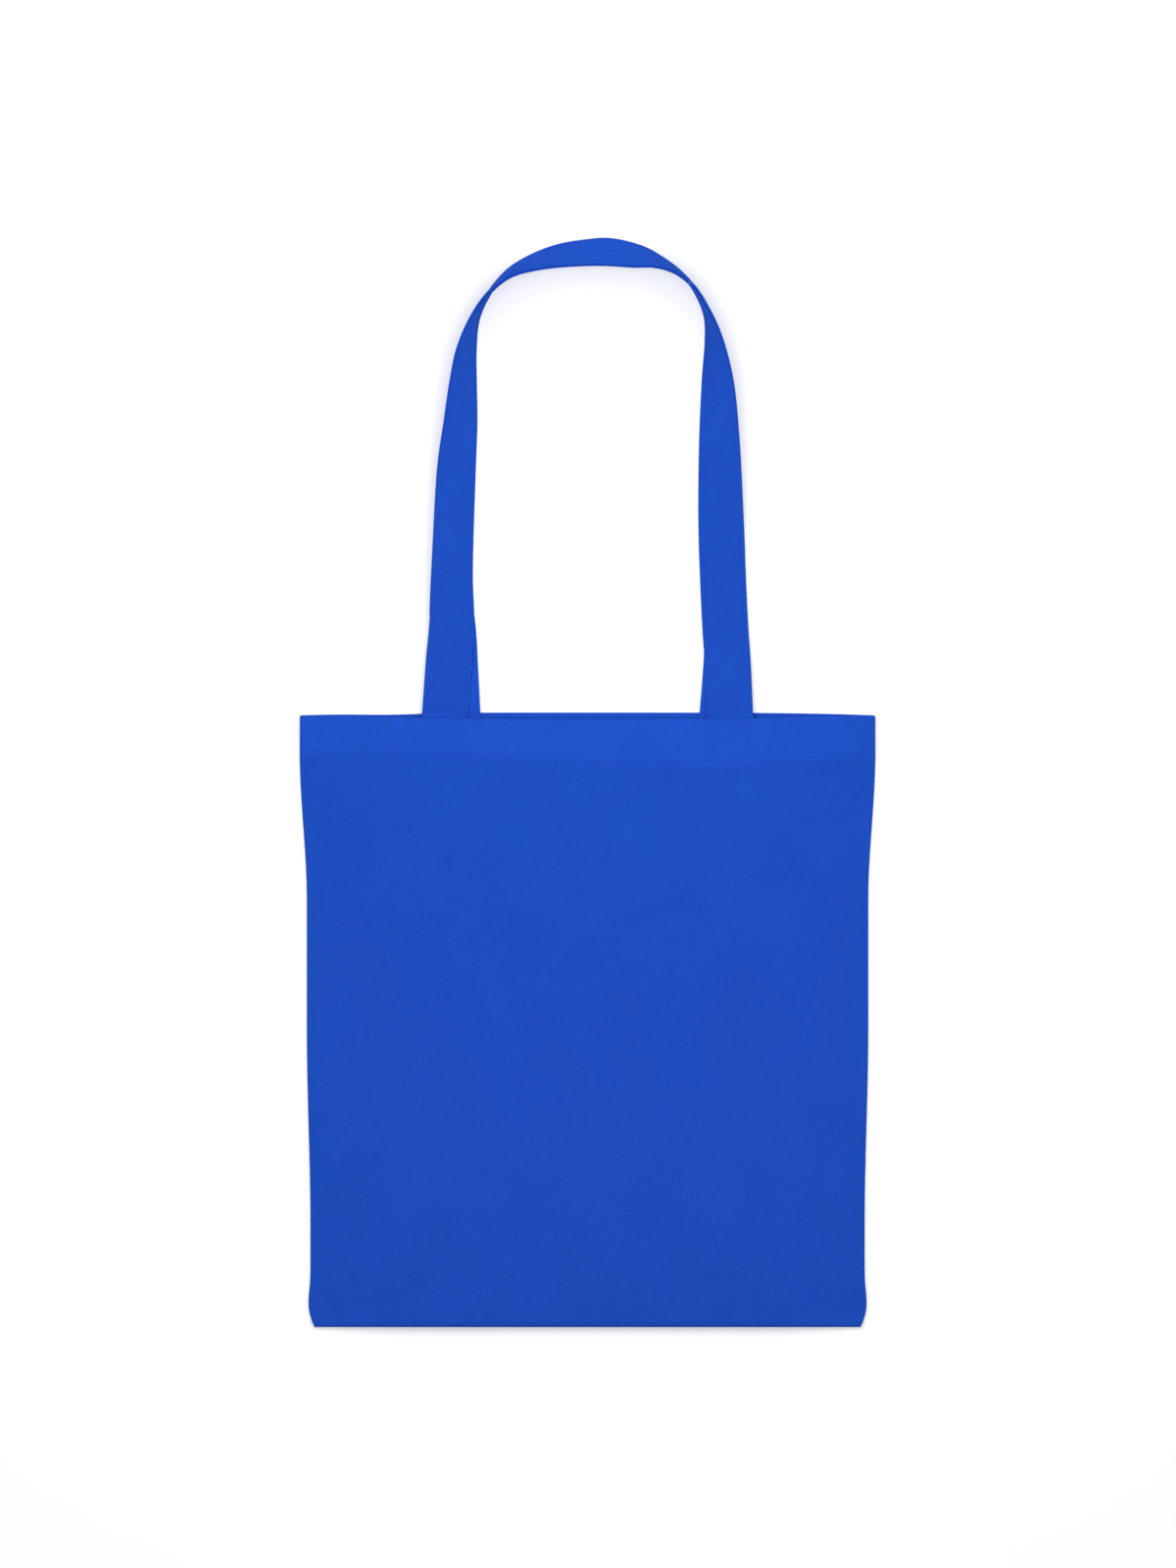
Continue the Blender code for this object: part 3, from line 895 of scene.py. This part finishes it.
class Nodes:
    """Short calls for the nodes of one material."""

    def __init__(self, tree):
        self.tree = tree

    def link(self, value, socket):
        if isinstance(value, bpy.types.NodeSocket):
            self.tree.links.new(value, socket)
        else:
            socket.default_value = value

    def math(self, operation, *values):
        node = self.tree.nodes.new("ShaderNodeMath")
        node.operation = operation
        for value, socket in zip(values, node.inputs):
            self.link(value, socket)
        return node.outputs[0]

    def blend(self, first, second, first_share):
        """A share of one value and the rest of the other."""
        return self.math("MULTIPLY_ADD", first, first_share, self.math("MULTIPLY", second, 1 - first_share))

    def separate(self, vector):
        node = self.tree.nodes.new("ShaderNodeSeparateXYZ")
        self.link(vector, node.inputs[0])
        return node.outputs

    def stretched(self, vector, scale):
        node = self.tree.nodes.new("ShaderNodeVectorMath")
        node.operation = "MULTIPLY"
        self.link(vector, node.inputs[0])
        node.inputs[1].default_value = scale
        return node.outputs[0]

    def noise(self, vector, scale, detail=2.0):
        """Noise from 0 to 1 with a different fineness along each direction of the cloth."""
        node = self.tree.nodes.new("ShaderNodeTexNoise")
        self.link(self.stretched(vector, scale), node.inputs["Vector"])
        node.inputs["Scale"].default_value = 1.0
        node.inputs["Detail"].default_value = detail
        return node.outputs["Fac"]

    def colour_mix(self, share, first, second):
        node = self.tree.nodes.new("ShaderNodeMix")
        node.data_type = "RGBA"
        self.link(share, node.inputs["Factor"])
        colours = [socket for socket in node.inputs if socket.type == "RGBA"]
        self.link(first, colours[0])
        self.link(second, colours[1])
        return [socket for socket in node.outputs if socket.type == "RGBA"][0]

    def bump(self, height, distance, strength, under=None):
        node = self.tree.nodes.new("ShaderNodeBump")
        node.inputs["Distance"].default_value = distance
        node.inputs["Strength"].default_value = strength
        self.link(height, node.inputs["Height"])
        if under is not None:
            self.link(under, node.inputs["Normal"])
        return node.outputs["Normal"]


def shaded(colour, share):
    """A colour times a share, as the four numbers of a socket."""
    return (*[c * share for c in colour], 1)


def weave_height(nodes, cloth):
    """Plain weave: threads that pass over and under each other by turns."""
    place = nodes.separate(cloth)
    turn = math.pi / THREAD_PITCH
    warp = nodes.math("SINE", nodes.math("MULTIPLY", place["X"], turn))
    weft = nodes.math("SINE", nodes.math("MULTIPLY", place["Y"], turn))
    side_by_side = nodes.math("MULTIPLY", warp, weft)
    over = nodes.math("MULTIPLY_ADD", side_by_side, 0.5, 0.5)
    crossing = nodes.math("POWER", nodes.math("ABSOLUTE", side_by_side), WEAVE_FLATNESS)
    return nodes.math("MULTIPLY_ADD", over, WEAVE_OVER, crossing)


def new_material(name):
    """A material with its nodes, its shader, and the place in the flat cloth that its pattern follows."""
    material = bpy.data.materials.new(name)
    material.use_nodes = True
    tree = material.node_tree
    attribute = tree.nodes.new("ShaderNodeAttribute")
    attribute.attribute_name = "cloth"
    return material, Nodes(tree), tree.nodes["Principled BSDF"], attribute.outputs["Vector"]


def cotton(name, roughness, colour=ROYAL_BLUE):
    """Dyed plain-weave cotton: woven threads, slubs along them, soft unevenness, a fine nap and painted
    light on the hem.
    """
    material, nodes, shader, cloth = new_material(name)
    warp_slubs = nodes.noise(cloth, WARP_SLUBS, SLUB_DETAIL)
    weft_slubs = nodes.noise(cloth, WEFT_SLUBS, SLUB_DETAIL)
    specks = nodes.noise(cloth, SPECKS)
    patches = nodes.noise(cloth, PATCHES)
    threads = nodes.blend(warp_slubs, weft_slubs, WARP_SHARE)
    tone = nodes.blend(patches, nodes.blend(specks, threads, SPECK_SHARE), PATCH_SHARE)
    # Painted light: the hem's share makes the hem lighter. The raw edges carry their own lighter tone in
    # the same place.
    hem = nodes.math("MAXIMUM", nodes.separate(cloth)["Z"], 0.0)
    share = nodes.math("MULTIPLY_ADD", nodes.math("SUBTRACT", tone, 0.5), CONTRAST, 0.5)
    share = nodes.math("MULTIPLY_ADD", hem, HEM_PAINTED_LIGHT, share)
    blue = nodes.colour_mix(share, shaded(colour, DARKEST), shaded(colour, LIGHTEST))
    nodes.link(blue, shader.inputs["Base Color"])
    woven = nodes.bump(weave_height(nodes, cloth), *WEAVE_BUMP)
    slubbed = nodes.bump(threads, *SLUB_BUMP, woven)
    soft = nodes.bump(patches, *PATCH_BUMP, slubbed)
    nodes.link(soft, shader.inputs["Normal"])
    shader.inputs["Roughness"].default_value = roughness
    shader.inputs["Diffuse Roughness"].default_value = CLOTH_SCATTER
    shader.inputs["Specular IOR Level"].default_value = CLOTH_GLOSS
    shader.inputs["Sheen Weight"].default_value = NAP
    shader.inputs["Sheen Roughness"].default_value = NAP_ROUGHNESS
    shader.inputs["Sheen Tint"].default_value = NAP_TINT
    return material


def sewing_thread():
    """Spun thread of the cloth's colour, as matt as the cloth, with its twist, painted lighter on the
    twist's ridges and darker in its grooves.
    """
    material, nodes, shader, cloth = new_material("sewing_thread")
    place = nodes.separate(cloth)
    along = nodes.math("MULTIPLY", place["Y"], TWIST_ALONG)
    slant = nodes.math("MULTIPLY_ADD", place["X"], TWIST_AROUND, along)
    twist = nodes.math("MULTIPLY_ADD", nodes.math("SINE", slant), 0.5, 0.5)
    # Painted light and shade: lighter where the twist stands up, darker in its grooves.
    blue = nodes.colour_mix(twist, shaded(ROYAL_BLUE, THREAD_PAINTED_SHADE), shaded(ROYAL_BLUE, THREAD_PAINTED_LIGHT))
    nodes.link(blue, shader.inputs["Base Color"])
    nodes.link(nodes.bump(twist, *TWIST_BUMP), shader.inputs["Normal"])
    shader.inputs["Roughness"].default_value = THREAD_ROUGHNESS
    shader.inputs["Specular IOR Level"].default_value = THREAD_GLOSS
    return material


# Stage


def seen_directly(tree):
    """1 for what the camera sees, also in gloss and through glass, and 0 for light on the object."""
    path = tree.nodes.new("ShaderNodeLightPath")
    nodes = Nodes(tree)
    total = nodes.math("ADD", path.outputs["Is Camera Ray"], path.outputs["Is Glossy Ray"])
    total = nodes.math("ADD", total, path.outputs["Is Transmission Ray"])
    return nodes.math("MINIMUM", total, 1.0)


def make_floor():
    """A plain white floor that shows white where nothing shades it and keeps the bag's shadow."""
    data = bpy.data.meshes.new("floor")
    half = FLOOR_SIZE / 2
    corners = [(-half, -half, 0), (half, -half, 0), (half, half, 0), (-half, half, 0)]
    data.from_pydata(corners, [], [(0, 1, 2, 3)])
    material = bpy.data.materials.new("floor_white")
    material.use_nodes = True
    tree = material.node_tree
    tree.nodes.clear()
    seen = seen_directly(tree)
    diffuse = tree.nodes.new("ShaderNodeBsdfDiffuse")
    white = Nodes(tree).math("MULTIPLY_ADD", seen, FLOOR_SEEN - FLOOR_WHITE, FLOOR_WHITE)
    tree.links.new(white, diffuse.inputs["Color"])
    glow = tree.nodes.new("ShaderNodeEmission")
    glow.inputs["Color"].default_value = (1, 1, 1, 1)
    share = Nodes(tree).math("MULTIPLY", seen, FLOOR_GLOW)
    tree.links.new(share, glow.inputs["Strength"])
    both = tree.nodes.new("ShaderNodeAddShader")
    tree.links.new(diffuse.outputs[0], both.inputs[0])
    tree.links.new(glow.outputs[0], both.inputs[1])
    output = tree.nodes.new("ShaderNodeOutputMaterial")
    tree.links.new(both.outputs[0], output.inputs["Surface"])
    data.materials.append(material)
    made = bpy.data.objects.new("floor", data)
    made.location.z = -FLOOR_DROP
    bpy.context.scene.collection.objects.link(made)


def make_world():
    """Even fill light, white where the camera sees past the floor."""
    world = bpy.data.worlds.new("studio")
    world.use_nodes = True
    tree = world.node_tree
    tree.nodes.clear()
    background = tree.nodes.new("ShaderNodeBackground")
    background.inputs["Color"].default_value = (1, 1, 1, 1)
    strength = Nodes(tree).math("MULTIPLY_ADD", seen_directly(tree), 1.0 - FILL, FILL)
    tree.links.new(strength, background.inputs["Strength"])
    output = tree.nodes.new("ShaderNodeOutputWorld")
    tree.links.new(background.outputs[0], output.inputs["Surface"])
    bpy.context.scene.world = world


def new_lamp(name, kind, place):
    data = bpy.data.lights.new(name, kind)
    made = bpy.data.objects.new(name, data)
    made.location = place
    made.rotation_euler = (-Vector(place)).to_track_quat("-Z", "Y").to_euler()
    bpy.context.scene.collection.objects.link(made)
    return data


def make_lamps():
    """A wide soft light from high above the handles' side, and a near lamp that falls off down the bag."""
    far = new_lamp("far_light", "SUN", FAR_LIGHT_FROM)
    far.energy = FAR_LIGHT_STRENGTH
    far.angle = FAR_LIGHT_ANGLE
    near = new_lamp("near_light", "AREA", NEAR_LAMP_AT)
    near.energy = NEAR_LAMP_ENERGY
    near.size = NEAR_LAMP_SIZE


def make_camera():
    """Straight down over the middle of the bag, with the handles at the top of the picture."""
    data = bpy.data.cameras.new("camera")
    data.lens = LENS
    data.sensor_width = SENSOR
    made = bpy.data.objects.new("camera", data)
    made.location = (CAMERA_ACROSS, CAMERA_ALONG, FRAME_HEIGHT * LENS / SENSOR)
    bpy.context.scene.collection.objects.link(made)
    bpy.context.scene.camera = made


# Assembly


def declare(piece, node=None):
    """The piece rides on the bag and, where it stands for a node, hides that node's solid."""
    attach(piece, "root")
    if node is not None:
        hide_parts(node)


def dress_body(thread):
    """The bag with its raw edges inside, its hem's stitching and the stitched ends of the handles."""
    body = cotton("body_cotton_woven", BODY_ROUGHNESS)
    bag = body_cloth(body)
    declare(bag, "bag_body")
    inside = [
        seam_allowance("seam_allowance_left", -1, body),
        seam_allowance("seam_allowance_right", 1, body),
    ]
    sewn = [
        hem_stitches("hem_stitches_front", front_points, False, thread),
        hem_stitches("hem_stitches_back", back_points, True, thread),
    ]
    for word, panel, flip, inset in (
        ("front", front_points, False, (0.0, 0.0)),
        ("back", back_points, True, (BACK_INSET_LEFT, BACK_INSET_RIGHT)),
    ):
        left = -HANDLE_SPACING / 2 + inset[0]
        right = HANDLE_SPACING / 2 - inset[1]
        sewn.append(box_stitches(f"{word}_handle_left_stitches", panel, left, flip, thread))
        sewn.append(box_stitches(f"{word}_handle_right_stitches", panel, right, flip, thread))
    for piece in inside + sewn:
        declare(piece)


def dress_handles(thread):
    """Both handles with their edge stitching."""
    sewn_front = MOUTH_LOFT - HEM - SEWN_GAP - STRAP_THICKNESS / 2
    sewn_back = HEM + SEWN_GAP + STRAP_THICKNESS / 2
    # Painted light: the back handle is coloured lighter against the shade under the front handle.
    painted_light_blue = [value * BACK_STRAP_PAINTED_LIGHT for value in ROYAL_BLUE]
    for word, height, settle, nested, colour in (
        ("front", sewn_front, SETTLE_FRONT, False, ROYAL_BLUE),
        ("back", sewn_back, SETTLE_BACK, True, painted_light_blue),
    ):
        strap = cotton(f"{word}_strap_cotton_woven", STRAP_ROUGHNESS, colour)
        place, lean = handle_line(height, settle, nested)
        piece, length = handle_cloth(f"{word}_handle_cloth", place, lean, strap, creased=not nested)
        declare(piece, f"{word}_handle")
        edges = strap_stitches(f"{word}_handle_edge_stitches", place, lean, thread, creased=not nested)
        declare(edges)


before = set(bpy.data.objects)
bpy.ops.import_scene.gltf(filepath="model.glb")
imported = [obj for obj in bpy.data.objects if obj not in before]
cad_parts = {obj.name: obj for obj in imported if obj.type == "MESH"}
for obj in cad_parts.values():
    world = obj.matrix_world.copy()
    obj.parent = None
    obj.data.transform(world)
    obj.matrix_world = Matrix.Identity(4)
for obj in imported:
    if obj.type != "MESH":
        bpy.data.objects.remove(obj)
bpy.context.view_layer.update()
FOLD_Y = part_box("bag_body")[0].y
MOUTH_Y = FOLD_Y + BODY_HEIGHT
sewing = sewing_thread()
dress_body(sewing)
dress_handles(sewing)
make_floor()
make_world()
make_lamps()
make_camera()
bpy.context.scene.view_settings.view_transform = "Standard"
